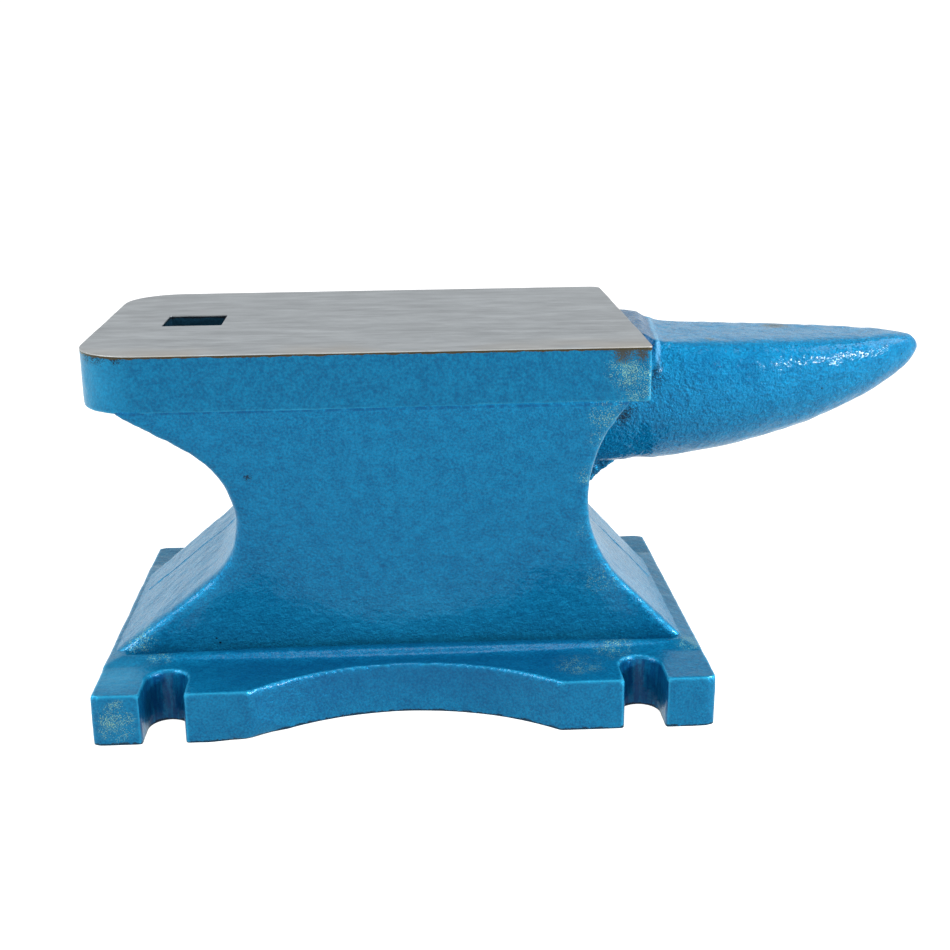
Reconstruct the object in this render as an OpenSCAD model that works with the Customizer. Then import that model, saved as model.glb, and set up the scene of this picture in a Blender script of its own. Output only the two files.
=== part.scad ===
// Single-horn shop anvil: a foot casting with four bolt notches, a hollow-ended waist, a thick top
// plate with a square hardy hole, and a flat-topped horn with a rounded belly.
//
// Frame: origin at the centre of the underside of the base, +Z up, +X towards the horn's tip and
// +Y to the back. The four pieces meet face to face.

/* [Overall] */
// Height of the working face above the floor
anvil_h = 162; // [158:1:170]

/* [Base] */
// Length of the base, along the horn
base_l = 260; // [256:1:280]
// Width of the base, across the feet
base_w = 185; // [180:1:200]
// Thickness of the feet
base_t = 22; // [18:1:26]
// Radius of the upright corners of the feet
foot_corner_r = 3; // [1:0.5:6]
// Depth of the scoop in each long side
scoop_depth = 23.5; // [15:0.5:25]
// Length of the scoop along the edge of the base
scoop_l = 131; // [100:1:140]

/* [Bolt notches] */
// Width of each notch, a loose fit on an M16 holding-down bolt
notch_w = 18.5; // [14:0.5:20]
// How far each notch runs in from the long side
notch_reach = 25; // [22:0.5:26]
// Distance between the notches along the base
notch_pitch = 203; // [195:1:210]

/* [Plinth] */
// Width of the low step that the waist stands on
plinth_w = 128; // [120:1:130]
// Height of the step
plinth_h = 3; // [2:0.5:5]

/* [Waist] */
// Width of the waist where it meets the plinth
waist_foot_w = 103; // [90:1:118]
// Distance from the middle to the narrowest place, heel side
heel_neck_x = 70; // [62:1:72]
// Distance from the middle to the narrowest place, horn side
horn_neck_x = 79; // [74:1:80]
// Radius of the hollow under the heel
heel_hollow_r = 40; // [36:1:42]
// Radius of the hollow under the horn
horn_hollow_r = 65; // [60:1:68]

/* [Top plate] */
// Length of the top plate
plate_l = 233.5; // [230:0.5:236]
// Width of the top plate
plate_w = 157; // [150:1:162]
// Thickness of the top plate
plate_t = 23; // [18:1:26]
// Corner radius at the heel
heel_corner_r = 26; // [10:1:35]
// Small corner radius at the horn end
horn_end_r = 2.5; // [1:0.5:6]
// Side of the square hardy hole
hardy_w = 25.4; // [19:0.1:26]
// From the heel to the middle of the hardy hole
hardy_from_heel = 40; // [34:1:44]

/* [Horn] */
// Length of the horn past the top plate
horn_l = 139; // [120:1:150]
// Diameter of the horn's belly at its root
horn_d = 74; // [66:1:76]
// Upward tilt of the belly's centre line, degrees
horn_tilt = 6.2; // [4:0.1:7]
// Drop from the working face to the flat of the horn
flat_drop = 8.5; // [6:0.5:12]
// Downward slope of the flat towards the tip, degrees
flat_fall = 1.4; // [0:0.1:2]
// Length of the sloped collar at the root
collar_l = 14; // [8:1:18]

/* [Hidden] */

$fn = 96;
cut = 1;                  // how far a cutting shape runs past the face it opens

heel_x = -130.5;          // heel end of the top plate
plate_end_x = heel_x + plate_l;
plate_z = anvil_h - plate_t;
plinth_z = base_t + plinth_h;
hardy_x = heel_x + hardy_from_heel;

// A scoop is part of a circle whose centre lies outside the base.
scoop_r = (pow(scoop_l / 2, 2) + pow(scoop_depth, 2)) / (2 * scoop_depth);

// The two hollows of the waist: the height of each nose, and the slope of the ramps above and
// below it, in degrees from level.
heel_hollow_z = 88;
heel_ramp_up = 32.6;
heel_ramp_down = 38.5;
horn_hollow_z = 97;
horn_ramp_up = 40;
horn_ramp_down = 46.5;

// The belly follows (t / length)^taper + (radius / root radius)^fullness = 1.
horn_taper = 2.16;
horn_fullness = 1.47;
belly_steps = 24;
root_back = 30;           // how far the horn's root runs back under the plate, to the waist
belly_z = 129.7;          // height of the belly's centre line at the end of the plate
belly_len = horn_l / cos(horn_tilt);
collar_proud = 3;         // how much wider than the belly the collar is at the plate, all round
collar_back = 8;          // how far the collar runs back into the plate
collar_drop = 4.4;        // from the working face down to the collar's level top
collar_level = 0.57;      // share of the collar's length that is level, before it slopes down

blue = [0.09, 0.45, 0.70];
pale_blue = [0.16, 0.52, 0.76];
deep_blue = [0.06, 0.36, 0.60];
steel_grey = [0.62, 0.64, 0.64];

// ---- base: plate with four open notches, two scoops and the plinth ----

module rounded_rectangle(l, w, r) {
    square([l - 2 * r, w], center = true);
    square([l, w - 2 * r], center = true);
    for (sx = [-1, 1], sy = [-1, 1])
        translate([sx * (l / 2 - r), sy * (w / 2 - r)])
            circle(r);
}

// One notch, open to the long side at y = w / 2.
module notch_outline() {
    arc_y = base_w / 2 - notch_reach + notch_w / 2;
    translate([0, arc_y])
        circle(d = notch_w);
    translate([-notch_w / 2, arc_y])
        square([notch_w, base_w / 2 - arc_y + cut]);
}

module scoop_outline() {
    translate([0, base_w / 2 - scoop_depth + scoop_r])
        circle(scoop_r, $fn = 180);
}

module base_outline() {
    difference() {
        rounded_rectangle(base_l, base_w, foot_corner_r);
        for (side = [0, 1])
            mirror([0, side]) {
                scoop_outline();
                for (end = [-1, 1])
                    translate([end * notch_pitch / 2, 0])
                        notch_outline();
            }
    }
}

module base() {
    color(deep_blue) {
        linear_extrude(base_t)
            base_outline();
        translate([-base_l / 2, -plinth_w / 2, base_t])
            cube([base_l, plinth_w, plinth_h]);
    }
}

// ---- waist: one side outline crossed with one end outline ----

// A hollow that opens towards +X: a round nose at the origin's side, and a straight ramp away
// from it above and below.
module hollow_outline(r, up, down, reach) {
    translate([r, 0]) {
        circle(r, $fn = 180);
        polygon([
            [-r * sin(up), r * cos(up)],
            [reach * cos(up), r * cos(up) + (reach * cos(up) + r * sin(up)) * tan(up)],
            [reach * cos(down), -r * cos(down) - (reach * cos(down) + r * sin(down)) * tan(down)],
            [-r * sin(down), -r * cos(down)]
        ]);
    }
}

module waist_side_outline() {
    difference() {
        translate([-base_l / 2, plinth_z])
            square([base_l, plate_z - plinth_z]);
        translate([horn_neck_x, horn_hollow_z])
            hollow_outline(horn_hollow_r, horn_ramp_up, horn_ramp_down, base_l);
        translate([-heel_neck_x, heel_hollow_z])
            mirror([1, 0])
                hollow_outline(heel_hollow_r, heel_ramp_up, heel_ramp_down, base_l);
    }
}

module waist_end_outline() {
    polygon([
        [-waist_foot_w / 2, plinth_z],
        [waist_foot_w / 2, plinth_z],
        [plate_w / 2, plate_z],
        [-plate_w / 2, plate_z]
    ]);
}

module waist_block() {
    intersection() {
        translate([0, plate_w, 0])
            rotate([90, 0, 0])
                linear_extrude(2 * plate_w)
                    waist_side_outline();
        translate([-base_l, 0, 0])
            rotate([90, 0, 90])
                linear_extrude(2 * base_l)
                    waist_end_outline();
        union() {
            linear_extrude(anvil_h)
                plate_outline();
            translate([-base_l, -plate_w, 0])
                cube([2 * base_l, 2 * plate_w, heel_hollow_z]);
        }
    }
}

module waist() {
    color(blue)
        difference() {
            waist_block();
            hardy_hole();
        }
}

// ---- top plate: slab with round heel corners and the hardy hole ----

module plate_outline() {
    translate([heel_x + heel_corner_r, -plate_w / 2])
        square([plate_l - heel_corner_r - horn_end_r, plate_w]);
    translate([heel_x, heel_corner_r - plate_w / 2])
        square([heel_corner_r + cut, plate_w - 2 * heel_corner_r]);
    translate([plate_end_x - horn_end_r - cut, horn_end_r - plate_w / 2])
        square([horn_end_r + cut, plate_w - 2 * horn_end_r]);
    for (side = [-1, 1]) {
        translate([heel_x + heel_corner_r, side * (plate_w / 2 - heel_corner_r)])
            circle(heel_corner_r);
        translate([plate_end_x - horn_end_r, side * (plate_w / 2 - horn_end_r)])
            circle(horn_end_r, $fn = 48);
    }
}

module hardy_hole() {
    translate([hardy_x - hardy_w / 2, -hardy_w / 2, heel_hollow_z])
        cube([hardy_w, hardy_w, anvil_h]);
}

module plate_block() {
    translate([0, 0, plate_z])
        linear_extrude(plate_t)
            plate_outline();
}

module top_plate() {
    color(steel_grey)
        difference() {
            plate_block();
            hardy_hole();
        }
}

// ---- horn: turned belly cut flat on top, with a sloped collar at its root ----

function belly_r(t) =
    t <= 0 ? horn_d / 2 : horn_d / 2 * pow(max(0, 1 - pow(t / belly_len, horn_taper)), 1 / horn_fullness);

// Steps are closer together towards the tip, where the belly curves most.
function belly_t(i) = belly_len * sin(90 * i / belly_steps);

module belly() {
    translate([plate_end_x, 0, belly_z])
        rotate([0, 90 - horn_tilt, 0])
            rotate_extrude($fn = 120)
                polygon(concat(
                    [[0, -root_back], [belly_r(0), -root_back]],
                    [for (i = [0 : belly_steps]) [belly_r(belly_t(i)), belly_t(i)]]
                ));
}

// A cone that is flush with the belly underneath and stands proud of it on top. Its centre line
// starts above the belly's at the plate and meets it where the collar ends.
module collar() {
    lean = atan2(collar_proud, collar_l);
    long = collar_l + collar_back;
    wide = belly_r(0) + collar_proud * long / collar_l;
    translate([plate_end_x, 0, belly_z])
        rotate([0, 90 - horn_tilt, 0])
            translate([0, 0, collar_l])
                rotate([0, lean, 0])
                    translate([0, 0, -long])
                        cylinder(r1 = wide, r2 = belly_r(collar_l), h = long);
}

// Everything above a plane that passes through [x, z] and drops towards +X.
module above(x, z, fall) {
    translate([x, 0, z])
        rotate([0, fall, 0])
            translate([-anvil_h, -plate_w, 0])
                cube([3 * anvil_h, 2 * plate_w, anvil_h]);
}

module horn() {
    flat_z = anvil_h - flat_drop;
    collar_z = anvil_h - collar_drop;
    collar_slope_x = collar_l * collar_level;
    collar_fall = atan2(collar_z - flat_z + collar_l * sin(flat_fall), collar_l - collar_slope_x);
    color(pale_blue)
        difference() {
            union() {
                difference() {
                    belly();
                    above(plate_end_x, flat_z, flat_fall);
                }
                difference() {
                    collar();
                    above(plate_end_x + collar_slope_x, collar_z, collar_fall);
                    above(plate_end_x, collar_z, 0);
                }
            }
            plate_block();
            waist_block();
        }
}

base();
waist();
top_plate();
horn();
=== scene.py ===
# %% [markdown]
# # A blue cast-iron shop anvil
# A small anvil is one heavy iron casting: a foot with four bolt notches, a hollow-ended waist, a thick
# top plate and a horn. Only the working face is ground bright; everything else is dipped in metallic
# blue enamel over rough sand-cast skin. The CAD model fixes every size, so the lesson here is how a
# casting gets its soft edges, its uneven skin and its paint. We start by loading that model.

# %% Load the measured model
import math

import bmesh
import bpy
from mathutils import Matrix, Vector


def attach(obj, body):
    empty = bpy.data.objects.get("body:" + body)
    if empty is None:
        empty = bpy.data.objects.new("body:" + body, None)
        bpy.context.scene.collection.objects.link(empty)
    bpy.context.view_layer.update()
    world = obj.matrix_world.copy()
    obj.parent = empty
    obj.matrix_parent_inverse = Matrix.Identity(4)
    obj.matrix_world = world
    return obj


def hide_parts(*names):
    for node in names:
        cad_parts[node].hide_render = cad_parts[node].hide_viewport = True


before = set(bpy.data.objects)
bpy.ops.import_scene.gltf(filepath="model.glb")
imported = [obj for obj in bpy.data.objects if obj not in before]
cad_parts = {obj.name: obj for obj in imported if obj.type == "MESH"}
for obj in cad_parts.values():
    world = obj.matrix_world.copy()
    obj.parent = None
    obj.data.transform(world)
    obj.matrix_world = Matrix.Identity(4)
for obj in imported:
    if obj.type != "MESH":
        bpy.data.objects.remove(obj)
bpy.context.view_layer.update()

MM = 0.001

# %% [markdown]
# ## The viewpoint
# The anvil is looked at from the front, a little above the working face and close enough for the
# horn to swing towards us. A lens of about 53 mm at 0.63 m gives that mild perspective. The view
# transform is Standard, so white paper stays white and the blue isn't washed out.

# %% Camera
CAMERA_PLACE = (-0.0001, -0.6319, 0.2734)
CAMERA_YAW = -0.0552
CAMERA_PITCH = 0.2872
CAMERA_ROLL = -0.0084

bpy.ops.object.select_all(action="DESELECT")
bpy.ops.object.camera_add(location=CAMERA_PLACE)
camera = bpy.context.object
camera.name = "camera"
turn = (
    Matrix.Rotation(CAMERA_YAW, 4, "Z")
    @ Matrix.Rotation(math.pi / 2 - CAMERA_PITCH, 4, "X")
    @ Matrix.Rotation(CAMERA_ROLL, 4, "Z")
)
camera.matrix_world = Matrix.Translation(CAMERA_PLACE) @ turn
camera.data.lens = 53.28
camera.data.sensor_width = 36
camera.data.clip_start = 0.01
camera.data.clip_end = 50
bpy.context.scene.camera = camera
bpy.context.scene.view_settings.view_transform = "Standard"
print("camera at", CAMERA_PLACE)

# %% [markdown]
# ## Floor and light
# A product table: a round pale floor, and a room that is white at eye level and dimmer overhead, so
# the paper looks white from every side while the anvil still has light and shade. The floor glows a
# little, as an opal light table does, and that keeps shadows faint. The key is a narrow strip, low at
# the front right: it puts a broken glint along the horn's shoulder, from its middle to its nose.

# %% Floor, room and soft panels
FLOOR_RADIUS = 5

bpy.ops.mesh.primitive_circle_add(vertices=96, radius=FLOOR_RADIUS, fill_type="NGON", location=(0, 0, 0))
floor = bpy.context.object
floor.name = "floor"
white = bpy.data.materials.new("white_table")
white.use_nodes = True
for socket, value in (
    ("Base Color", (0.2, 0.2, 0.2, 1)), ("Roughness", 0.9), ("Specular IOR Level", 0.1),
    ("Emission Color", (1, 1, 1, 1)), ("Emission Strength", 0.96),
):
    white.node_tree.nodes["Principled BSDF"].inputs[socket].default_value = value
floor.data.materials.append(white)

ROOM_WALL = 1.08
ROOM_CEILING = 0.6
WALL_FADE = (0.3, 0.75)

world = bpy.data.worlds.new("white_room")
bpy.context.scene.world = world
world.use_nodes = True
sky = world.node_tree
direction = sky.nodes.new("ShaderNodeTexCoord").outputs["Generated"]
split = sky.nodes.new("ShaderNodeSeparateXYZ")
fade = sky.nodes.new("ShaderNodeMapRange")
sky.links.new(direction, split.inputs[0])
sky.links.new(split.outputs["Z"], fade.inputs["Value"])
for name, value in (
    ("From Min", WALL_FADE[0]), ("From Max", WALL_FADE[1]), ("To Min", ROOM_WALL), ("To Max", ROOM_CEILING),
):
    fade.inputs[name].default_value = value
sky.links.new(fade.outputs[0], sky.nodes["Background"].inputs["Strength"])
sky.nodes["Background"].inputs["Color"].default_value = (1, 1, 1, 1)


def soft_panel(name, place, aim, width, power, height=None):
    """A light that faces the point aim. It is square unless its height is given too, in metres."""
    bpy.ops.object.light_add(type="AREA", location=place)
    panel = bpy.context.object
    panel.name = name
    panel.data.shape = "RECTANGLE"
    panel.data.size = width
    panel.data.size_y = height or width
    panel.data.energy = power
    facing = (Vector(aim) - Vector(place)).to_track_quat("-Z", "Y")
    panel.rotation_euler = facing.to_euler()
    return panel


soft_panel("key_strip", (1.13, -0.74, 0.40), (0.19, 0.0, 0.13), 0.55, 22, height=0.07)
soft_panel("right_panel", (1.1, -0.1, 0.9), (0.1, 0.0, 0.1), 0.8, 14)
soft_panel("left_panel", (-1.1, -0.45, 0.8), (-0.08, 0.0, 0.08), 0.8, 28)
soft_panel("top_panel", (0.1, -0.4, 1.35), (0.03, 0.0, 0.1), 0.6, 8)
print("floor, room and four panels")

# %% [markdown]
# ## Working by hand, in code
# Every piece is shaped with the same few moves: select only one object, go into edit mode, pick faces
# by where they are, and run an operator on them. These helpers keep those moves short.

# %% Helpers for selecting and finishing


def take(piece):
    """Makes the piece the only selected object."""
    if bpy.context.object and bpy.context.object.mode != "OBJECT":
        bpy.ops.object.mode_set(mode="OBJECT")
    bpy.ops.object.select_all(action="DESELECT")
    piece.select_set(True)
    bpy.context.view_layer.objects.active = piece
    return piece


def edit(piece, kind="FACE"):
    take(piece)
    bpy.ops.object.mode_set(mode="EDIT")
    bpy.ops.mesh.select_mode(type=kind)


def done():
    bpy.ops.object.mode_set(mode="OBJECT")


def pick(kind, test):
    """In edit mode, selects only the verts, edges or faces that pass the test, and counts them."""
    mesh = bpy.context.object.data
    bpy.ops.mesh.select_mode(type={"verts": "VERT", "edges": "EDGE", "faces": "FACE"}[kind])
    bpy.ops.mesh.select_all(action="DESELECT")
    shape = bmesh.from_edit_mesh(mesh)
    chosen = [part for part in getattr(shape, kind) if test(part)]
    for part in chosen:
        part.select_set(True)
    bmesh.update_edit_mesh(mesh)
    return len(chosen)


def modify(piece, kind, **settings):
    """Adds a modifier with these settings and applies it at once."""
    take(piece)
    modifier = piece.modifiers.new(kind.lower(), kind)
    for name, value in settings.items():
        setattr(modifier, name, value)
    bpy.ops.object.modifier_apply(modifier=modifier.name)


def weight(piece, name, rule):
    """A vertex group whose weight at each vertex is rule(x, y, z), with lengths in millimetres."""
    group = piece.vertex_groups.new(name=name)
    for vertex in piece.data.vertices:
        x, y, z = (c / MM for c in vertex.co)
        share = min(1.0, max(0.0, rule(x, y, z)))
        if share > 0:
            group.add([vertex.index], share, "REPLACE")
    return name


def ramp(value, start, end):
    """0 at start, 1 at end, straight between them and held outside."""
    return min(1.0, max(0.0, (value - start) / (end - start)))


def unevenness(name, size_mm, depth=2):
    """A cloud pattern for the Displace modifier, with lumps of about this size."""
    clouds = bpy.data.textures.new(name, "CLOUDS")
    clouds.noise_scale = size_mm * MM
    clouds.noise_depth = depth
    return clouds


SAND_SWELL = unevenness("sand_swell", 16)
SAND_LUMPS = unevenness("sand_lumps", 5)


def cast_skin(piece, swell_mm, lumps_mm, group=""):
    """Moves the surface in and out as a sand mould does: a slow swell, then smaller lumps."""
    for clouds, height in ((SAND_SWELL, swell_mm), (SAND_LUMPS, lumps_mm)):
        modify(
            piece, "DISPLACE", texture=clouds, texture_coords="LOCAL",
            strength=height * MM, mid_level=0.5, vertex_group=group,
        )


def swell(piece, thickness_mm):
    """A coat of paint: moves the whole surface outwards by this much."""
    modify(piece, "DISPLACE", strength=thickness_mm * MM, mid_level=0)


def copy_of_node(node, name):
    """A merged copy of a CAD node, to be shaped further. The node itself stays as it is."""
    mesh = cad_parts[node].data.copy()
    mesh.name = name
    mesh.materials.clear()
    piece = bpy.data.objects.new(name, mesh)
    bpy.context.scene.collection.objects.link(piece)
    edit(piece)
    bpy.ops.mesh.select_all(action="SELECT")
    bpy.ops.mesh.remove_doubles(threshold=0.001 * MM)
    bpy.ops.mesh.dissolve_limited(angle_limit=math.radians(0.3))
    done()
    return piece


def report(piece):
    faces = len(piece.data.polygons)
    size = [round(side / MM, 1) for side in piece.dimensions]
    print(piece.name, "faces", faces, "size in mm", size)


print("helpers ready")

# %% [markdown]
# ## The foot
# The foot is a plate 22 mm thick. Each long side is scooped, four open notches take the bolts, and a
# low step, the plinth, runs from end to end under the waist. The CAD copy has the right outline, so it
# is only worked over by hand here: the plinth gets sloping sides and a shallow trough for the waist to
# stand in, and the notches get the draft that lets a pattern leave the sand. The foot is left too
# deep underneath, to be sawn off flat later.

# %% Foot, plinth and notches
FOOT_TOP = 22 * MM
PLINTH_TOP = 25 * MM
FOOT_END = 129 * MM
NOTCH_X = 101.5 * MM
TROUGH_RIM = 3.5 * MM
TROUGH_DEPTH = 1.8 * MM
SPARE_BELOW = 2 * MM

foot = copy_of_node("base", "foot_casting")
edit(foot)
bpy.ops.mesh.select_all(action="SELECT")
bpy.ops.mesh.bisect(plane_co=(0, 0, FOOT_TOP), plane_no=(0, 0, 1))
print("plinth top", pick("verts", lambda v: v.co.z > PLINTH_TOP - 1e-5))
bpy.ops.transform.resize(value=(1, 58 / 64, 1), center_override=(0, 0, PLINTH_TOP))
print("plinth corners", pick("verts", lambda v: v.co.z > PLINTH_TOP - 1e-5 and abs(v.co.x) > FOOT_END))
bpy.ops.transform.resize(value=(0.945, 0.96, 1), center_override=(0, 0, PLINTH_TOP))
bpy.ops.transform.translate(value=(0, 0, -0.6 * MM))
print("trough", pick("faces", lambda f: f.calc_center_median().z > 24.2 * MM and f.normal.z > 0.99))
bpy.ops.mesh.inset(thickness=TROUGH_RIM, depth=0)
bpy.ops.transform.translate(value=(0, 0, -TROUGH_DEPTH))
print("notch draft", pick("verts", lambda v: (
    v.co.z < 1e-5 and abs(abs(v.co.x) - NOTCH_X) < 10 * MM and abs(v.co.y) < 82 * MM
)))
bpy.ops.transform.resize(value=(1, 1.035, 1), center_override=(0, 0, 0))
print("underside", pick("verts", lambda v: v.co.z < 1e-5))
bpy.ops.transform.translate(value=(0, 0, -SPARE_BELOW))
for end, stretch in ((-1, 0.7), (1, 1.2)):
    print("end", pick("verts", lambda v: v.co.x * end > FOOT_END))
    bpy.ops.transform.translate(value=(end * stretch * MM, 0, 0))
done()

# %% [markdown]
# ## Bank and skin of the foot
# A bank of metal lies along each side of the waist and fades out towards the ends. A sphere stretched
# very long fades in just that way, where a bar would stop dead. A sand mould can't hold a sharp corner
# either, so a voxel remesh turns everything into one even skin, and a few rounds of smoothing round the
# edges to about 1.5 mm. Weights keep the heavier smoothing to the plinth and the heel ends of the scoops.

# %% Foot skin
BANK_SIZE = (121 * MM, 3.4 * MM, 1.9 * MM)
BANK_Y = 57 * MM
BANK_Z = 24 * MM

bank = []
for side in (-1, 1):
    bpy.ops.mesh.primitive_uv_sphere_add(segments=64, ring_count=24, location=(0, side * BANK_Y, BANK_Z))
    bank.append(bpy.context.object)
    bpy.context.object.scale = BANK_SIZE
    bpy.ops.object.transform_apply(location=True, rotation=True, scale=True)
take(foot)
for long_drop in bank:
    long_drop.select_set(True)
bpy.ops.object.join()
modify(foot, "REMESH", mode="VOXEL", voxel_size=1.1 * MM)
modify(foot, "SMOOTH", factor=0.5, iterations=2)
step = weight(foot, "step", lambda x, y, z: (
    ramp(z, 20.5, 21.5) * ramp(-abs(y), -78, -72) * ramp(-abs(x), -129.5, -126)
))
modify(foot, "SMOOTH", factor=0.5, iterations=2, vertex_group=step)
mouth = weight(foot, "mouth", lambda x, y, z: (
    ramp(-abs(x + 65), -18, -8) * ramp(abs(y), 82, 86) * ramp(-z, -17, -6)
))
modify(foot, "SMOOTH", factor=0.5, iterations=140, vertex_group=mouth)
swell(foot, 0.4)
cast_skin(foot, 0.5, 0.2)
edit(foot)
bpy.ops.mesh.select_all(action="SELECT")
bpy.ops.mesh.bisect(plane_co=(0, 0, 0), plane_no=(0, 0, -1), use_fill=True, clear_outer=True)
done()
report(foot)

# %% [markdown]
# ## The waist
# The waist narrows from the top plate to the foot, and its two ends are hollowed and flare out again
# to the corners of the foot. The hardy hole runs down through it, so that hole is closed first and is
# cut again after the remesh, with crisp walls. The upright edges are rubbed round to about 4 mm, but
# the rim under the top plate stays tight, where it makes the thin line that parts the two. The front
# edge at the heel end is rubbed rounder still.

# %% Waist casting
PLATE_UNDER = 139 * MM
HARDY_X = -90.5 * MM
HARDY_HALF = 12.7 * MM


def in_hardy_hole(face):
    middle = face.calc_center_median()
    near = abs(middle.x - HARDY_X) < HARDY_HALF * 1.01 and abs(middle.y) < HARDY_HALF * 1.01
    return near and abs(face.normal.z) < 0.01


waist = copy_of_node("waist", "waist_casting")
edit(waist)
print("hole walls", pick("faces", in_hardy_hole))
bpy.ops.mesh.delete(type="FACE")
bpy.ops.mesh.select_all(action="SELECT")
bpy.ops.mesh.fill_holes(sides=0)
INTO_PLATE = 1.6 * MM
INTO_PLINTH = -4 * MM
for level, rise, spread in (
    (PLATE_UNDER, INTO_PLATE, (1.0, 1.002, 1)), (PLINTH_TOP, INTO_PLINTH, (1.045, 0.98, 1)),
):
    print("end face", pick("faces", lambda f: abs(f.calc_center_median().z - level) < 1e-5))
    bpy.ops.mesh.extrude_region_move(TRANSFORM_OT_translate={"value": (0, 0, rise)})
    bpy.ops.transform.resize(value=spread, center_override=(0, 0, level))
pick("verts", lambda v: v.co.z > PLATE_UNDER - 1e-5)
bpy.ops.transform.resize(value=(1, 0.994, 1), center_override=(0, 0, PLATE_UNDER))
done()
modify(waist, "REMESH", mode="VOXEL", voxel_size=1.35 * MM)
modify(waist, "SMOOTH", factor=0.5, iterations=2)
edges = weight(waist, "edges", lambda x, y, z: ramp(z, 22, 30) * ramp(-z, -138, -122))
modify(waist, "SMOOTH", factor=0.5, iterations=19, vertex_group=edges)
rubbed = weight(waist, "rubbed", lambda x, y, z: (
    ramp(z, 21, 28) * ramp(-z, -120, -70) * ramp(-x, 30, 60) * ramp(-y, 0, 25)
))
modify(waist, "SMOOTH", factor=0.5, iterations=80, vertex_group=rubbed)
swell(waist, 0.45)
cast_skin(waist, 0.7, 0.3)
report(waist)

# %% [markdown]
# ## The top plate and its ground face
# The plate is drawn as a flat outline with its corners rounded, and pulled up a little too high. It is
# then given the same cast skin as the rest, and cut off level, as a grinder does on the real one. The
# slice above the cut becomes the bright face and the part below it stays painted, so both share one
# slightly wavy outline and meet at a crisp edge.

# %% Top plate, drawn as an outline and pulled up
FACE_Z = 162 * MM
PAINT_TOP = 161.55 * MM
PLATE_LENGTH = 233.5 * MM
PLATE_WIDTH = 157 * MM
PLATE_MIDDLE = (-13.75 * MM, 0, PLATE_UNDER)
PLATE_RISE = 30 * MM
HEEL_THICKER = 1.2 * MM

bpy.ops.object.select_all(action="DESELECT")
bpy.ops.mesh.primitive_plane_add(size=1, location=PLATE_MIDDLE)
plate = bpy.context.object
plate.name = "plate_casting"
plate.scale = (PLATE_LENGTH, PLATE_WIDTH, 1)
bpy.ops.object.transform_apply(location=True, rotation=True, scale=True)
edit(plate, "VERT")
pick("verts", lambda v: v.co.x < -0.1 and v.co.y > 78 * MM)
bpy.ops.transform.translate(value=(0, -2 * MM, 0))
for radius, steps, corner in (
    (26, 20, lambda v: v.co.x < -0.1 and abs(v.co.y) > 76 * MM),
    (1.0, 3, lambda v: v.co.x > 0.1 and v.co.y < -78 * MM),
    (3.5, 2, lambda v: v.co.x > 0.1 and v.co.y > 78 * MM),
):
    pick("verts", corner)
    bpy.ops.mesh.bevel(offset=radius * MM, offset_type="OFFSET", segments=steps, affect="VERTICES")
bpy.ops.mesh.select_all(action="SELECT")
bpy.ops.mesh.extrude_region_move(TRANSFORM_OT_translate={"value": (0, 0, PLATE_RISE)})
bpy.ops.mesh.select_all(action="SELECT")
bpy.ops.mesh.normals_make_consistent(inside=False)
pick("verts", lambda v: v.co.z < PLATE_UNDER + 1e-5 and v.co.x < 0)
bpy.ops.transform.translate(value=(0, 0, -HEEL_THICKER))
done()
modify(plate, "REMESH", mode="VOXEL", voxel_size=1.1 * MM)
modify(plate, "SMOOTH", factor=0.5, iterations=2)
cast_skin(plate, 0.5, 0.2)

# %% [markdown]
# ## The hardy hole
# On the real one a square drift, or a core in the mould, leaves the hole. Here too: a long square bar
# with its upright edges just rounded is taken out of the plate and the waist with a Boolean, so that
# the two stretches of wall line up exactly.

# %% Drift out the hardy hole
DRIFT_SIDE = 2 * HARDY_HALF + 0.8 * MM
DRIFT_EDGE = 0.8 * MM

bpy.ops.mesh.primitive_cube_add(size=1, location=(HARDY_X, 0, 150 * MM))
drift = bpy.context.object
drift.name = "drift"
drift.scale = (DRIFT_SIDE, DRIFT_SIDE, 140 * MM)
bpy.ops.object.transform_apply(location=True, rotation=True, scale=True)
edit(drift, "EDGE")
pick("edges", lambda e: abs((e.verts[0].co - e.verts[1].co).z) > 0.1)
bpy.ops.mesh.bevel(offset=DRIFT_EDGE, segments=3)
done()
for holed in (plate, waist):
    modify(holed, "BOOLEAN", operation="DIFFERENCE", object=drift, solver="EXACT")
bpy.data.objects.remove(drift)
print("hole", round(DRIFT_SIDE / MM, 1), "mm square before the paint")

# %% [markdown]
# ## Grinding the face
# One copy of the plate keeps only what lies above the paint line and below the ground level: that is
# the bright face. The plate itself keeps what lies below the paint line.

# %% Grind the plate and take off the face
take(plate)
bpy.ops.object.duplicate()
face = bpy.context.object
face.name = "ground_face"
for piece, cuts in (
    (plate, ((PAINT_TOP, 1),)),
    (face, ((FACE_Z, 1), (PAINT_TOP, -1))),
):
    for height, keep_below in cuts:
        edit(piece)
        bpy.ops.mesh.select_all(action="SELECT")
        bpy.ops.mesh.bisect(
            plane_co=(0, 0, height), plane_no=(0, 0, keep_below), use_fill=True, clear_outer=True,
        )
        done()
    report(piece)

# %% [markdown]
# ## The horn
# The horn is a round belly that tapers to a blunt nose, tilted up a few degrees and cut flat on top. A
# smith thinks of it as a bar drawn out ring by ring, and it is made here in the same way: one circle,
# extruded and shrunk again and again. The flat is one straight cut.

# %% Horn, drawn out ring by ring
HORN_START = Vector((103 * MM, 0, 129.7 * MM))
HORN_TILT = math.radians(6.2)
HORN_AXIS = Vector((math.cos(HORN_TILT), 0, math.sin(HORN_TILT)))
HORN_RADIUS = 37 * MM
HORN_REACH = 139 * MM / math.cos(HORN_TILT)
HORN_ROOT_BACK = 30 * MM
TAPER = 2.16
FULLNESS = 1.47
RINGS = 26
STOP_SHORT = 0.992


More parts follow.
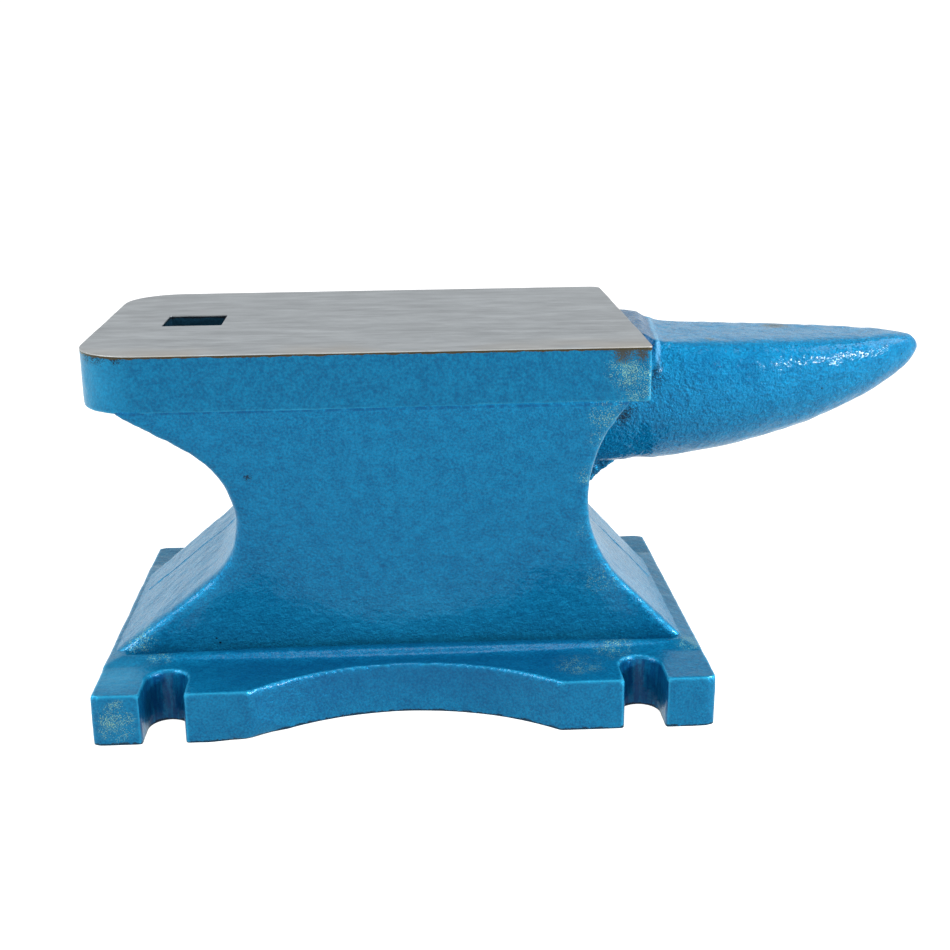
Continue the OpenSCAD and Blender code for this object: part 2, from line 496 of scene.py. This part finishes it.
def belly(along):
    """The radius of the belly, this far along the horn from the plate."""
    share = max(0.0, along) / HORN_REACH
    return HORN_RADIUS * max(0.0, 1 - share ** TAPER) ** (1 / FULLNESS)


def root_lift(along):
    """The belly runs level into the waist, so its first rings sit a little higher."""
    return MM * (1.3 * ramp(-along, -36 * MM, 0) + 1.5 * ramp(-along, -10 * MM, 2 * MM))


bpy.ops.mesh.primitive_circle_add(
    vertices=72, radius=HORN_RADIUS, fill_type="NGON",
    location=HORN_START - HORN_AXIS * HORN_ROOT_BACK + Vector((0, 0, root_lift(-HORN_ROOT_BACK))),
    rotation=(0, math.pi / 2 - HORN_TILT, 0),
)
horn = bpy.context.object
horn.name = "horn_casting"
bpy.ops.object.transform_apply(location=True, rotation=True, scale=True)
edit(horn)
bpy.ops.mesh.select_all(action="SELECT")
before = -HORN_ROOT_BACK
for ring in range(RINGS + 1):
    along = HORN_REACH * math.sin(math.pi / 2 * ring / RINGS * STOP_SHORT)
    step_on = HORN_AXIS * (along - before) + Vector((0, 0, root_lift(along) - root_lift(before)))
    bpy.ops.mesh.extrude_region_move(TRANSFORM_OT_translate={"value": step_on})
    shrink = belly(along) / belly(before)
    middle = HORN_START + HORN_AXIS * along + Vector((0, 0, root_lift(along)))
    bpy.ops.transform.resize(value=(shrink,) * 3, center_override=middle)
    before = along
bpy.ops.mesh.select_all(action="SELECT")
bpy.ops.mesh.normals_make_consistent(inside=False)
FLAT_FALL = math.radians(1.4)
FLAT_START = (103 * MM, 0, 153.9 * MM)
bpy.ops.mesh.bisect(
    plane_co=FLAT_START, plane_no=(math.sin(FLAT_FALL), 0, math.cos(FLAT_FALL)),
    use_fill=True, clear_outer=True,
)
done()
report(horn)

# %% [markdown]
# ## The collar
# Where the horn leaves the plate it is thickened by a collar that stands proud on top and at the
# sides, and runs out underneath. A cone with its axis leaned upwards does that. Its top is cut by three
# planes: level at the plate, a gentle slope, then a steep one down to the flat of the horn. On the
# real one it was set a few degrees askew, so all of it is turned a little.

# %% Collar at the root of the horn
COLLAR = 14 * MM
COLLAR_BACK = 8 * MM
COLLAR_PROUD = 3 * MM
COLLAR_TOP = 157.9 * MM
COLLAR_HUMP = (111 * MM, 0, 157.4 * MM)
COLLAR_ASKEW = math.radians(6)

lean = math.atan2(COLLAR_PROUD, COLLAR)
length = COLLAR + COLLAR_BACK
askew = Matrix.Rotation(-COLLAR_ASKEW, 4, "Z")
collar_turn = askew @ Matrix.Rotation(math.pi / 2 - HORN_TILT + lean, 4, "Y")
collar_end = HORN_START + HORN_AXIS * COLLAR + Vector((0, 0, root_lift(COLLAR)))
collar_middle = collar_end - (collar_turn @ Vector((0, 0, 1))) * length / 2
bpy.ops.mesh.primitive_cone_add(
    vertices=72, radius1=HORN_RADIUS + COLLAR_PROUD * length / COLLAR, radius2=belly(COLLAR),
    depth=length, location=collar_middle, rotation=collar_turn.to_euler(),
)
collar = bpy.context.object
bpy.ops.object.transform_apply(location=True, rotation=True, scale=True)
edit(collar)
flat_at_foot = FLAT_START[2] - COLLAR * math.sin(FLAT_FALL)
steep = math.atan2(COLLAR_HUMP[2] - flat_at_foot, 103 * MM + COLLAR - COLLAR_HUMP[0])
gentle = math.atan2(COLLAR_TOP - COLLAR_HUMP[2], COLLAR_HUMP[0] - 103 * MM)
for through, fall in ((COLLAR_HUMP, steep), (COLLAR_HUMP, gentle), ((0, 0, COLLAR_TOP), 0)):
    bpy.ops.mesh.select_all(action="SELECT")
    bpy.ops.mesh.bisect(
        plane_co=through, plane_no=askew @ Vector((math.sin(fall), 0, math.cos(fall))),
        use_fill=True, clear_outer=True,
    )
done()
report(collar)

# %% [markdown]
# ## The bead
# A thin bead of metal runs along the collar's edge: across the flat, and a little way down each side.
# A ring of the belly's own size, cut down to two arcs, follows the sides, and a bar crosses the flat.

# %% Bead along the collar's edge
BEAD = 2 * MM
bead_place = collar_end + HORN_AXIS * 0.5 * MM
bpy.ops.mesh.primitive_torus_add(
    major_segments=96, minor_segments=12, major_radius=belly(COLLAR) - 0.7 * MM, minor_radius=BEAD,
    location=bead_place, rotation=(askew @ Matrix.Rotation(math.pi / 2 - HORN_TILT, 4, "Y")).to_euler(),
)
bead = bpy.context.object
bpy.ops.object.transform_apply(location=True, rotation=True, scale=True)
edit(bead)
for height, side in ((flat_at_foot + 1.1 * MM, 1), (141.5 * MM, -1)):
    bpy.ops.mesh.select_all(action="SELECT")
    bpy.ops.mesh.bisect(
        plane_co=(0, 0, height), plane_no=(0, 0, side), use_fill=True, clear_outer=True,
    )
done()
bpy.ops.mesh.primitive_cylinder_add(
    vertices=24, radius=BEAD, depth=58 * MM, location=(103 * MM + COLLAR, 0, flat_at_foot - 0.7 * MM),
    rotation=(math.pi / 2, 0, -COLLAR_ASKEW),
)
bar = bpy.context.object
bpy.ops.object.transform_apply(location=True, rotation=True, scale=True)
print("bead radius in mm", round(BEAD / MM, 1))

# %% [markdown]
# ## One skin for the horn
# Horn, collar and bead are joined and remeshed into one skin, which is how molten iron would fill them
# too. The smoothing is heavy on the shoulders of the flat and light at the nose, the belly and the
# collar, so one weight group does all of it.

# %% Join the horn and give it a skin
take(horn)
for part in (collar, bead, bar):
    part.select_set(True)
bpy.context.view_layer.objects.active = horn
bpy.ops.object.join()
modify(horn, "REMESH", mode="VOXEL", voxel_size=1.0 * MM)
modify(horn, "SMOOTH", factor=0.5, iterations=3)
shoulders = weight(horn, "shoulders", lambda x, y, z: (
    0.012 + 0.988 * ramp(x, 120, 132) * max(0.2, ramp(-x, -232, -190)) * max(0.15, ramp(z, 122, 134))
))
modify(horn, "SMOOTH", factor=0.5, iterations=260, vertex_group=shoulders)
swell(horn, 0.35)
cast_skin(horn, 0.9, 0.35)
report(horn)

# %% [markdown]
# ## The scrap of flash under the horn
# Where the two halves of the mould met, iron leaked out and left a ragged web in the corner between
# the waist and the horn. Nobody grinds it off, because it doesn't show from above. It starts as a
# small plate whose outline is pulled about, then gets a rough skin of its own.

# %% Casting flash
bpy.ops.object.select_all(action="DESELECT")
bpy.ops.mesh.primitive_circle_add(
    vertices=3, radius=9 * MM, fill_type="NGON", location=(89.5 * MM, 0, 92 * MM),
    rotation=(math.pi / 2, 0, 0),
)
flash = bpy.context.object
flash.name = "casting_flash"
bpy.ops.object.transform_apply(location=True, rotation=True, scale=True)
edit(flash, "VERT")
scrap_shape = bmesh.from_edit_mesh(flash.data)
scrap_shape.verts.ensure_lookup_table()
for corner, there in enumerate(((80, 0, 100), (81, 0, 76.5), (104, 0, 96))):
    scrap_shape.verts[corner].co = Vector(there) * MM
bmesh.update_edit_mesh(flash.data)
done()
modify(flash, "SOLIDIFY", thickness=5 * MM, offset=0)
modify(flash, "REMESH", mode="VOXEL", voxel_size=0.7 * MM)
modify(
    flash, "DISPLACE", texture=unevenness("torn_iron", 3, 4), texture_coords="LOCAL",
    strength=4 * MM, mid_level=0.5,
)
modify(flash, "SMOOTH", factor=0.5, iterations=1)
report(flash)

# %% [markdown]
# ## The parting ridge
# The mould halves met in a line that runs down both hollow ends of the waist, a little behind the
# middle. It shows as a low ridge. A thin slice of the waist itself has exactly the right path, so a
# slice is cut from a fresh copy, and swelled until it stands a little proud.

# %% Parting ridge
RIDGE_Y = 20 * MM
RIDGE_HALF = 1.6 * MM

ridge = copy_of_node("waist", "parting_ridge")
for side in (-1, 1):
    edit(ridge)
    bpy.ops.mesh.select_all(action="SELECT")
    bpy.ops.mesh.bisect(
        plane_co=(0, RIDGE_Y + side * RIDGE_HALF, 0), plane_no=(0, side, 0),
        use_fill=True, clear_outer=True,
    )
    done()
modify(ridge, "REMESH", mode="VOXEL", voxel_size=0.9 * MM)
swell(ridge, 0.74)
modify(ridge, "SMOOTH", factor=0.5, iterations=5)
cast_skin(ridge, 0.7, 0.5)
report(ridge)

# %% [markdown]
# ## Smooth shading
# The skins are dense, so plain smooth shading is enough, but the cut edges of the plate, the ground
# face and the hardy hole have to stay crisp. Shading by angle keeps them.

# %% Shade every piece
painted = [foot, waist, plate, horn, flash, ridge]
for piece in (*painted, face):
    take(piece)
    bpy.ops.object.shade_smooth_by_angle(angle=math.radians(50))
print("smooth up to 50 degrees:", len(painted) + 1, "pieces")

# %% [markdown]
# ## A small kit for materials
# A node is added in one line, with its settings and its inputs. Every pattern reads Object
# coordinates in metres, so a noise of "1.2 mm" is 1.2 mm on every piece.

# %% Node helpers


class Finish:
    """A new material with its Principled shader, and short ways to add nodes to it."""

    def __init__(self, name):
        self.material = bpy.data.materials.new(name)
        self.material.use_nodes = True
        self.tree = self.material.node_tree
        self.shader = self.tree.nodes["Principled BSDF"]
        self.place = self.add("TexCoord").outputs["Object"]
        self.x, self.y, self.z = self.add("SeparateXYZ", {0: self.place}).outputs

    def add(self, kind, inputs=None, **settings):
        made = self.tree.nodes.new("ShaderNode" + kind)
        for name, value in settings.items():
            setattr(made, name, value)
        for name, value in (inputs or {}).items():
            self.give(made.inputs[name], value)
        return made

    def give(self, socket, value):
        if isinstance(value, bpy.types.NodeSocket):
            self.tree.links.new(value, socket)
        else:
            socket.default_value = value

    def noise(self, size_mm, detail=2.0, roughness=0.5, stretch=(1, 1, 1), seed=0.0):
        moved = self.add(
            "Mapping", {"Vector": self.place, "Scale": stretch, "Location": (seed, seed, seed)},
        ).outputs[0]
        return self.add("TexNoise", {
            "Vector": moved, "Scale": 1 / (size_mm * MM), "Detail": detail, "Roughness": roughness,
        }).outputs["Fac"]

    def sum(self, operation, a, b=0.5, clamp=False):
        return self.add("Math", {0: a, 1: b}, operation=operation, use_clamp=clamp).outputs[0]

    def span(self, value, low, high, to_low=0.0, to_high=1.0, smooth=True):
        """Stretches value so that low becomes to_low and high becomes to_high."""
        kind = "SMOOTHSTEP" if smooth else "LINEAR"
        return self.add("MapRange", {
            "Value": value, "From Min": low, "From Max": high, "To Min": to_low, "To Max": to_high,
        }, interpolation_type=kind).outputs[0]

    def mix(self, share, a, b):
        made = self.add("Mix", data_type="RGBA")
        for socket, value in ((made.inputs[0], share), (made.inputs[6], a), (made.inputs[7], b)):
            self.give(socket, (*value, 1) if isinstance(value, tuple) else value)
        return made.outputs[2]

    def near(self, place_mm, radius_mm):
        """1 at a point of the anvil, fading to 0 at the radius."""
        there = tuple(c * MM for c in place_mm)
        gap = self.add("VectorMath", {0: self.place, 1: there}, operation="DISTANCE").outputs["Value"]
        return self.span(gap, radius_mm * MM, 0.0)

    def bump(self, height, depth_mm, strength=1.0, below=None):
        made = self.add("Bump", {"Height": height, "Distance": depth_mm * MM, "Strength": strength})
        if below is not None:
            self.give(made.inputs["Normal"], below)
        return made.outputs[0]


print("node helpers ready")

# %% [markdown]
# ## Blue hammer enamel: the coat
# The enamel is a metallic blue that dried over sand-cast iron: bright flakes below, clear lacquer on
# top. Close to, it is a mottle of lighter and deeper blue about a millimetre across. Edges are made
# lighter, partly for thin paint and partly as a painted highlight, and corners get painted shade.
# Pointiness, which says how sharply a surface folds, finds both.

# %% Enamel colours and the coat
DEEP_BLUE = (0.001, 0.070, 0.165)
CLEAR_BLUE = (0.003, 0.130, 0.260)
# The next three paint light and shade: a pale blue for painted light and edge highlights, a deep blue for
# painted shade, and a pale blue for a painted highlight.
PAINTED_LIGHT_BLUE = (0.02, 0.30, 0.50)
PAINTED_SHADE_BLUE = (0.001, 0.034, 0.11)
PAINTED_HIGHLIGHT_BLUE = (0.14, 0.36, 0.55)


def mottled_coat(made, tone):
    """Two blues in a fine mottle over broader clouds. tone lightens or darkens both, as painted light and
    shade for the piece.
    """
    fine = made.noise(1.0, 3, 0.6)
    broad = made.noise(6, 2, 0.5, seed=0.3)
    mottle = made.sum(
        "ADD", made.span(fine, 0.24, 0.76), made.span(broad, 0.3, 0.7, -0.16, 0.16), clamp=True,
    )
    return made.mix(mottle, tuple(tone * c for c in DEEP_BLUE), tuple(tone * c for c in CLEAR_BLUE))


def edges_and_corners(made, colour, edges_below):
    """Paler edges under this height in millimetres, partly thin paint and partly a painted highlight, and
    painted shade in corners everywhere.
    """
    sharp = made.add("NewGeometry").outputs["Pointiness"]
    low = made.span(made.z, edges_below * MM, (edges_below - 4) * MM)
    # Pale edges are thin paint and a painted highlight; the dark corners below are painted shade.
    painted_light = made.sum("MULTIPLY", made.span(sharp, 0.515, 0.56, 0, 0.5), low)
    colour = made.mix(painted_light, colour, PAINTED_LIGHT_BLUE)
    return made.mix(made.span(sharp, 0.485, 0.43, 0, 0.8), colour, PAINTED_SHADE_BLUE)


def tinted_places(made, colour, tint, marks):
    """A soft tint round each of the marks, which are (place, radius, amount) in millimetres. With the shade
    blue it paints shade, and with the pale blue it paints light.
    """
    for place, radius, amount in marks:
        colour = made.mix(made.sum("MULTIPLY", made.near(place, radius), amount), colour, tint)
    return colour


print("coat: two blues, edges, corners and tints")

# %% [markdown]
# ## Dust, soot and rust
# Grinding dust sticks to the paint as fine pale specks, most of them where the wheel left the
# work. Soot and rust make darker stains. All three are one pattern: specks half a millimetre across,
# gathered into patches, and only near the places that are marked.

# %% Dirt
DUST = (0.22, 0.38, 0.23)
RUST = (0.034, 0.027, 0.014)
# This soot black also paints the shade in the hardy hole.
SOOT_AND_SHADE = (0.004, 0.008, 0.014)


def dirt(made, colour, dust, soot, rust):
    """Specks round the marks. Each kind has its reach, which joins specks up, and its cover."""
    speck = made.noise(0.5, 1, 0.5, seed=0.7)
    patch = made.sum("MULTIPLY", made.sum("SUBTRACT", made.noise(4, 3, 0.6, seed=0.8), 0.5), 0.5)
    for marks, tint, reach, most in (
        (dust, DUST, 0.25, 0.55), (soot, SOOT_AND_SHADE, 0.4, 0.9), (rust, RUST, 0.5, 0.9),
    ):
        if not marks:
            continue
        amount = 0.0
        for place, radius, strength in marks:
            share = made.sum("MULTIPLY", made.near(place, radius), strength)
            amount = made.sum("MAXIMUM", amount, share)
        cover = made.sum("ADD", made.sum("ADD", speck, patch), made.sum("MULTIPLY", amount, reach))
        cover = made.sum("MULTIPLY", made.span(cover, 0.58, 0.82, 0, most), made.span(amount, 0.0, 0.2))
        colour = made.mix(cover, colour, tint)
    return colour


print("dirt: dust, soot and rust")

# %% [markdown]
# ## Marks that belong to one piece
# Each casting has something of its own. The foot's notches get painted shade inside, broken by runs of
# paint, and the foot is darker along its lower lip. A broken line of painted shadow lies under the top
# plate, and the ends have small black pits. Each is a short function that takes the colour so far and
# returns it with the mark.

# %% Marks of the foot and the waist


def shaded_notches_and_dark_lip(made, colour):
    """Painted shade inside the four notches, broken by runs of paint, and a darker band along the lower lip
    of the foot.
    """
    along = made.sum("ABSOLUTE", made.sum("SUBTRACT", made.sum("ABSOLUTE", made.x), NOTCH_X))
    across = made.sum("ABSOLUTE", made.y)
    inside = made.sum(
        "MULTIPLY", made.span(along, 9.9 * MM, 9.2 * MM), made.span(across, 66 * MM, 69 * MM),
    )
    inside = made.sum("MULTIPLY", inside, made.span(made.z, 21.4 * MM, 20.4 * MM))
    runs = made.span(made.noise(1.6, 3, 0.6, stretch=(1, 1, 0.12)), 0.35, 0.65, 0.35, 0.95)
    # Painted shade inside the notches, broken into runs.
    colour = made.mix(made.sum("MULTIPLY", inside, runs), colour, PAINTED_SHADE_BLUE)
    lip = made.sum("ADD", made.z, made.sum("MULTIPLY", made.noise(3, 3, 0.7), 3.2 * MM))
    return made.mix(made.span(lip, 2.6 * MM, 2.2 * MM, 0, 0.85), colour, SOOT_AND_SHADE)


def painted_shadow_under_plate(made, colour):
    """A broken line of painted shadow just under the top plate."""
    gap = made.sum("ABSOLUTE", made.sum("SUBTRACT", made.z, PLATE_UNDER - 0.6 * MM))
    broken = made.span(made.noise(6, 3, 0.6, seed=0.6), 0.38, 0.55, 0, 0.6)
    return made.mix(
        made.sum("MULTIPLY", made.span(gap, 0.9 * MM, 0.3 * MM), broken), colour, PAINTED_SHADE_BLUE,
    )


def pitted(made, colour, share):
    """A small black pit in this share of the 10 mm cells towards both ends."""
    cells = made.add("TexVoronoi", {"Vector": made.place, "Scale": 1 / (10 * MM)}).outputs
    drawn = made.add("SeparateColor", {0: cells["Color"]}).outputs[0]
    pit = made.sum(
        "MULTIPLY", made.span(cells["Distance"], 0.075, 0.035), made.span(drawn, 1 - share, 1.01 - share),
    )
    pit = made.sum("MULTIPLY", pit, made.span(made.sum("ABSOLUTE", made.x), 45 * MM, 75 * MM))
    return made.mix(pit, colour, SOOT_AND_SHADE)


print("marks: notches, lip, seam and pits")

# %% [markdown]
# ## Marks higher up
# Three more of the same kind. The horn's collar gets painted shade on its slope and a painted highlight
# along its crest, a thread of rust follows the ground edge of the plate, and the walls of the hardy hole
# get painted shade.

# %% Marks of the horn and the plate


def collar_shade_and_highlight(made, colour):
    """Painted shade on the slope and a painted highlight along the crest, which follow the askew edge of
    the collar.
    """
    upright = made.sum("SUBTRACT", made.x, made.sum("MULTIPLY", made.y, math.tan(COLLAR_ASKEW)))
    wobble = made.sum("ADD", upright, made.sum("MULTIPLY", made.noise(5, 2, seed=0.2), 1.6 * MM))
    slope = made.sum(
        "MULTIPLY", made.span(wobble, 117.2 * MM, 115.8 * MM, 0, 0.75),
        made.span(made.z, 146 * MM, 152 * MM),
    )
    colour = made.mix(slope, colour, PAINTED_SHADE_BLUE)
    gap = made.sum("ABSOLUTE", made.sum("SUBTRACT", wobble, 117.9 * MM))
    crest = made.sum(
        "MULTIPLY", made.span(gap, 1.4 * MM, 0.2 * MM, 0, 0.35), made.span(made.z, 140 * MM, 149 * MM),
    )
    return made.mix(crest, colour, PAINTED_HIGHLIGHT_BLUE)


def rusty_rim(made, colour, height):
    """A ragged thread of rust that starts about 1 mm under this height in millimetres."""
    ragged = made.sum("MULTIPLY", made.noise(5, 4, 0.65, seed=0.1), 2.2 * MM)
    edge = made.span(made.sum("ADD", made.z, ragged), height * MM, (height + 0.25) * MM)
    return made.mix(edge, colour, RUST)


def shaded_hole_walls(made, colour):
    """Painted shade on the walls of the hardy hole, fading out below."""
    along = made.sum("ABSOLUTE", made.sum("SUBTRACT", made.x, HARDY_X))
    reach = made.sum("MAXIMUM", along, made.sum("ABSOLUTE", made.y))
    walls = made.sum(
        "MULTIPLY", made.span(reach, 13.7 * MM, 13.4 * MM, 0, 0.93),
        made.span(made.z, 118 * MM, 124 * MM),
    )
    return made.mix(walls, colour, SOOT_AND_SHADE)


print("marks: collar, rim and hole")

# %% [markdown]
# ## Blue hammer enamel: the recipe
# The recipe puts the coat, the marks and the dirt on top of each other, then sets the shine. Half
# metal and half paint gives flakes that glow when looked at squarely. The clear lacquer is a coat with
# a low index, so it is faint from the front and veils the colour at a grazing angle. Two bumps, an
# orange peel and a finer grit, break up the highlights. The horn's skin is much the coarsest.

# %% Enamel recipe
FLAKE_GLOW = (0.5, 0.95, 1.0, 1)


def enamel(name, grain, tone=1.0, gloss=0.2, edges_below=170, painted_shade=(), painted_light=(), own_marks=None,
           dust=(), soot=(), rust=(), pits=0, rim=None, hole=False):
    """Blue enamel. grain is the coarseness of the skin, tone the lightness of the coat, which also paints
    the piece's light and shade, gloss the roughness of the lacquer, and pits the share of cells with a pit.
    The marks for painted shade, painted light, dust, soot and rust are lists of (place, radius, amount).
    rim is the height of the ground edge in millimetres."""
    made = Finish(name)
    colour = mottled_coat(made, tone)
    colour = edges_and_corners(made, colour, edges_below)
    # Painted shade round the first list of marks, then painted light round the second.
    colour = tinted_places(made, colour, PAINTED_SHADE_BLUE, painted_shade)
    colour = tinted_places(made, colour, PAINTED_LIGHT_BLUE, painted_light)
    if own_marks:
        colour = own_marks(made, colour)
    colour = dirt(made, colour, dust, soot, rust)
    if pits:
        colour = pitted(made, colour, pits)
    if rim is not None:
        colour = rusty_rim(made, colour, rim)
    if hole:
        colour = shaded_hole_walls(made, colour)
    sockets = made.shader.inputs
    made.give(sockets["Base Color"], colour)
    made.give(sockets["Roughness"], made.span(made.noise(2.5, 2, seed=0.5), 0.3, 0.7, 0.36, 0.54))
    for socket, value in (
        ("Metallic", 0.5), ("Specular IOR Level", 0.0), ("Specular Tint", FLAKE_GLOW),
        ("Coat Weight", 0.65), ("Coat Roughness", gloss), ("Coat IOR", 1.25),
    ):
        sockets[socket].default_value = value
    orange_peel = made.noise(2.4, 2, 0.5, seed=0.2)
    sand = made.noise(0.9, 3, 0.6, seed=0.9)
    drops = made.noise(1.2, 0.5, 0.5, seed=0.9)
    for socket, grit, height in (("Normal", sand, grain), ("Coat Normal", drops, 0.3 + 0.11 * grain)):
        peel = made.bump(orange_peel, 0.35 * height)
        made.give(sockets[socket], made.bump(grit, 0.22 * height, below=peel))
    return made.material


print("enamel recipe ready")

# %% [markdown]
# ## Painting the castings
# Every casting gets its own pot of the same enamel: its own grain and tone, and its own marks, placed
# in millimetres on the anvil as (place, radius, amount). The tones also paint light and shade: the
# horn is made lighter, the plate and the foot darker.

# %% Enamel on every casting
# Painted shade on the foot's top strip beside the waist, and painted light low on both sides of the waist.
BASE_SHADE = [((x, side * 72, 23), 30, 0.4) for x in (-64, -32, 0, 32, 64) for side in (-1, 1)]
LOW_PAINTED_LIGHT = [((x, side * 54, 28), 38, 0.14) for x in (-80, -40, 0, 40, 80) for side in (-1, 1)]

# The foot's pale mark is painted light on the heel lug.
foot.data.materials.append(enamel("foot_enamel", 1.0, tone=0.92, own_marks=shaded_notches_and_dark_lip, dust=(
    ((-121, -92, 10), 12, 0.5), ((-107, -57, 23), 9, 0.4), ((-120, -92, 18), 5, 0.4),
    ((92, -62, 25), 14, 0.35), ((75, -76, 23), 16, 0.3), ((128, -57, 24), 12, 0.4),
), painted_shade=BASE_SHADE, painted_light=(((-122, -74, 30), 24, 0.4),)))
waist.data.materials.append(enamel(
    "waist_enamel", 1.5, tone=1.01, hole=True, pits=0.5, edges_below=136,
    own_marks=painted_shadow_under_plate,
    dust=(
        ((85, -77, 134), 11, 0.42), ((83, -74, 122), 9, 0.26), ((78, -71, 106), 8, 0.25),
        ((78, -64, 80), 8, 0.12), ((86, -58, 55), 14, 0.2), ((-118, -53, 31), 14, 0.4),
    ),
    soot=(((-63, -71, 109), 2.6, 0.9), ((97, -60, 134), 9, 0.9)),
    painted_light=LOW_PAINTED_LIGHT,
))
# The plate's pale mark is painted light at the heel end.
plate.data.materials.append(enamel(
    # Its low tone paints shade on the plate.
    "plate_enamel", 0.8, tone=0.85, hole=True, rim=161.7,
    dust=(((96, -79, 150), 12, 0.6), ((97, -79, 143), 10, 0.42), ((91, -79, 153), 11, 0.42)),
    rust=(((91, -79, 161), 8, 0.9), ((99, -79, 159), 5, 0.8)), painted_light=(((-128, -72, 150), 30, 0.2),),
    soot=(((-125, -66, 162), 7, 0.8), ((-119, -71.5, 161.5), 7, 0.8), ((-112, -76, 162), 6, 0.7)),
))
# The horn's two dark marks are painted shade under the shoulder.
horn.data.materials.append(enamel(
    # Its high tone paints light on the horn.
    "horn_enamel", 4.5, tone=1.22, pits=0.12, own_marks=collar_shade_and_highlight, gloss=0.11,
    painted_shade=(((135, -35, 143), 14, 0.3), ((155, -32, 142), 14, 0.3)),
    rust=(((177, 12, 151.5), 10, 0.7), ((139, -21, 151.5), 5, 0.7)),
    soot=(((112, -36, 142), 9, 0.45), ((110, -37, 136), 8, 0.4), ((98, -36, 124), 10, 0.6)),
))
flash.data.materials.append(enamel("flash_enamel", 1.6, soot=(((90, 0, 90), 14, 0.5),)))
ridge.data.materials.append(enamel("ridge_enamel", 1.5, tone=1.12, edges_below=0))
print("enamel on", [piece.name for piece in painted])

# %% [markdown]
# ## Ground steel-grey face
# The working face is ground with a coarse wheel that travels along the anvil, so its marks are fine
# lines in that direction. They are a noise squeezed across the anvil and stretched along it, used for
# colour, roughness and a very shallow bump alike.

# %% Ground face
DARK_GREY = (0.232, 0.252, 0.262)
LIGHT_GREY = (0.395, 0.425, 0.44)
WARM_GREY = (0.37, 0.34, 0.29)

ground = Finish("ground_iron")
lines = ground.noise(0.8, 5, 0.7, stretch=(0.06, 1, 1))
wide = ground.noise(7, 4, 0.65, stretch=(0.25, 1, 1), seed=0.4)
cloud = ground.noise(40, 2, 0.5, seed=0.6)
tone = ground.sum("ADD", ground.span(lines, 0.3, 0.7, -0.3, 0.3), ground.span(wide, 0.3, 0.7, 0.25, 0.75))
metal = ground.mix(tone, DARK_GREY, LIGHT_GREY)
warm = ground.sum("MULTIPLY", ground.span(ground.y, -52 * MM, -80 * MM), ground.span(cloud, 0.35, 0.7))
metal = ground.mix(ground.sum("MULTIPLY", warm, 0.6), metal, WARM_GREY)
ground.give(ground.shader.inputs["Base Color"], metal)
ground.shader.inputs["Metallic"].default_value = 0.9
ground.shader.inputs["Specular Tint"].default_value = (0.6, 0.6, 0.62, 1)
ground.give(ground.shader.inputs["Roughness"], ground.span(lines, 0.3, 0.7, 0.36, 0.5))
ground.give(ground.shader.inputs["Normal"], ground.bump(lines, 0.03, 0.6))
face.data.materials.append(ground.material)
print("ground face finished")

# %% [markdown]
# ## Handing the pieces over
# The anvil is one solid thing with nothing that moves, so every piece rides on its single body. The
# CAD nodes that the castings and the ground face were shaped from are hidden.

# %% Ride on the body and hide the CAD nodes
for piece, node in (
    (foot, "base"), (waist, "waist"), (plate, "top_plate"), (face, "top_plate"), (horn, "horn"),
):
    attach(piece, "root")
    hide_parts(node)
for scrap in (flash, ridge):
    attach(scrap, "root")
